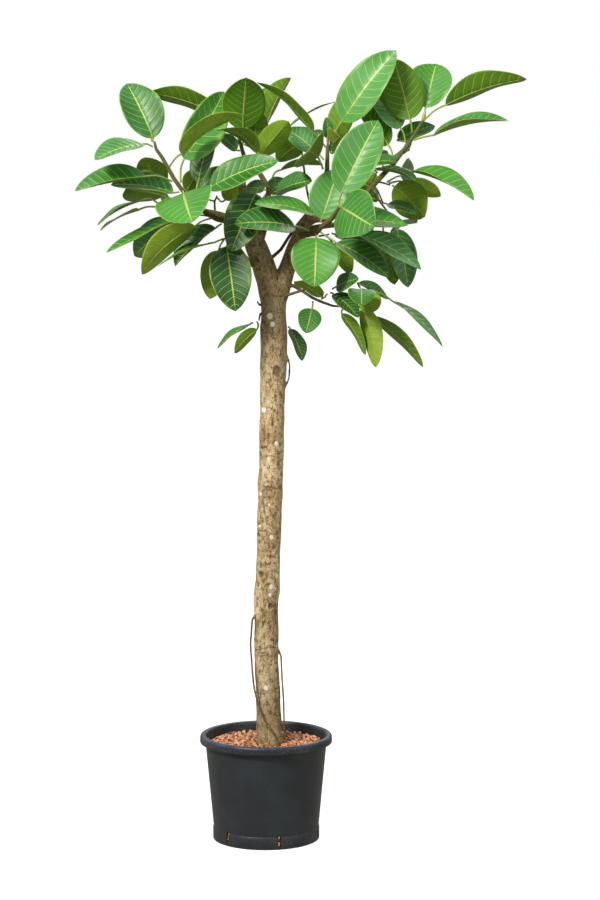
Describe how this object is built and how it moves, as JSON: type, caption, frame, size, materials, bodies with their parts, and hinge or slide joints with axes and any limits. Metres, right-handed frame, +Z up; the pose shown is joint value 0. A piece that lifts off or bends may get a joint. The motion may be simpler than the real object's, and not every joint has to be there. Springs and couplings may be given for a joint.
{
  "type": "potted ficus",
  "caption": "Indoor rubber fig grown as a standard tree: bare stem, forked crown of large oval leaves, round black nursery pot topped with clay granules.",
  "frame": {"origin": "centre of the flat pad under the pot, on the surface that it stands on", "axes": "+Z up along the stem, -Y towards the front of the crown, +X to the right as seen from the front"},
  "size_m": [0.9895, 0.518, 1.7751],
  "materials": {
    "pot_plastic": "satin",
    "potting_mix": "matte",
    "fired_clay": "matte",
    "bark": "matte",
    "leaf": "satin"
  },
  "bodies": {
    "root": {"nursery_pot": "pot_plastic", "potting_mix": "potting_mix", "clay_granules": "fired_clay", "trunk_and_branches": "bark", "leaf_far_left_top": "leaf", "leaf_far_left_rear": "leaf", "leaf_far_left_out": "leaf", "leaf_left_arching": "leaf", "leaf_left_upright": "leaf", "leaf_left_long": "leaf", "leaf_left_under": "leaf", "leaf_left_forward": "leaf", "leaf_left_across": "leaf", "leaf_left_dark": "leaf", "leaf_low_left_light": "leaf", "leaf_low_left_curled": "leaf", "leaf_low_left_inner": "leaf", "leaf_low_left_hanging": "leaf", "leaf_crown_broad": "leaf", "leaf_crown_folded": "leaf", "leaf_crown_olive": "leaf", "leaf_crown_bent": "leaf", "leaf_middle_mottled": "leaf", "leaf_centre_long": "leaf", "leaf_centre_blue": "leaf", "leaf_centre_underside": "leaf", "leaf_top_glossy": "leaf", "leaf_front_round": "leaf", "leaf_front_left": "leaf", "leaf_front_slim": "leaf", "leaf_front_gloss": "leaf", "leaf_front_upright": "leaf", "leaf_front_forward": "leaf", "leaf_front_yellow": "leaf", "leaf_front_low": "leaf", "leaf_front_lowest": "leaf", "leaf_right_dark": "leaf", "leaf_right_top": "leaf", "leaf_far_right_top": "leaf", "leaf_far_right": "leaf", "leaf_right_blue": "leaf", "leaf_right_shade": "leaf", "leaf_low_round": "leaf", "leaf_stem_right": "leaf", "leaf_right_hanging": "leaf", "sprig_low_left": "leaf", "sprig_back_left": "leaf", "sprig_inner_left": "leaf", "sprig_crown": "leaf", "sprig_middle": "leaf", "sprig_centre_top": "leaf", "sprig_centre_back": "leaf", "sprig_right_inner": "leaf", "sprig_right_olive": "leaf", "sprig_back_right": "leaf", "sprig_right_sky": "leaf", "sprig_front_dark": "leaf", "sprig_low_inner": "leaf", "sprig_low_outer": "leaf", "sprig_stem_left": "leaf"}
  },
  "joints": []
}
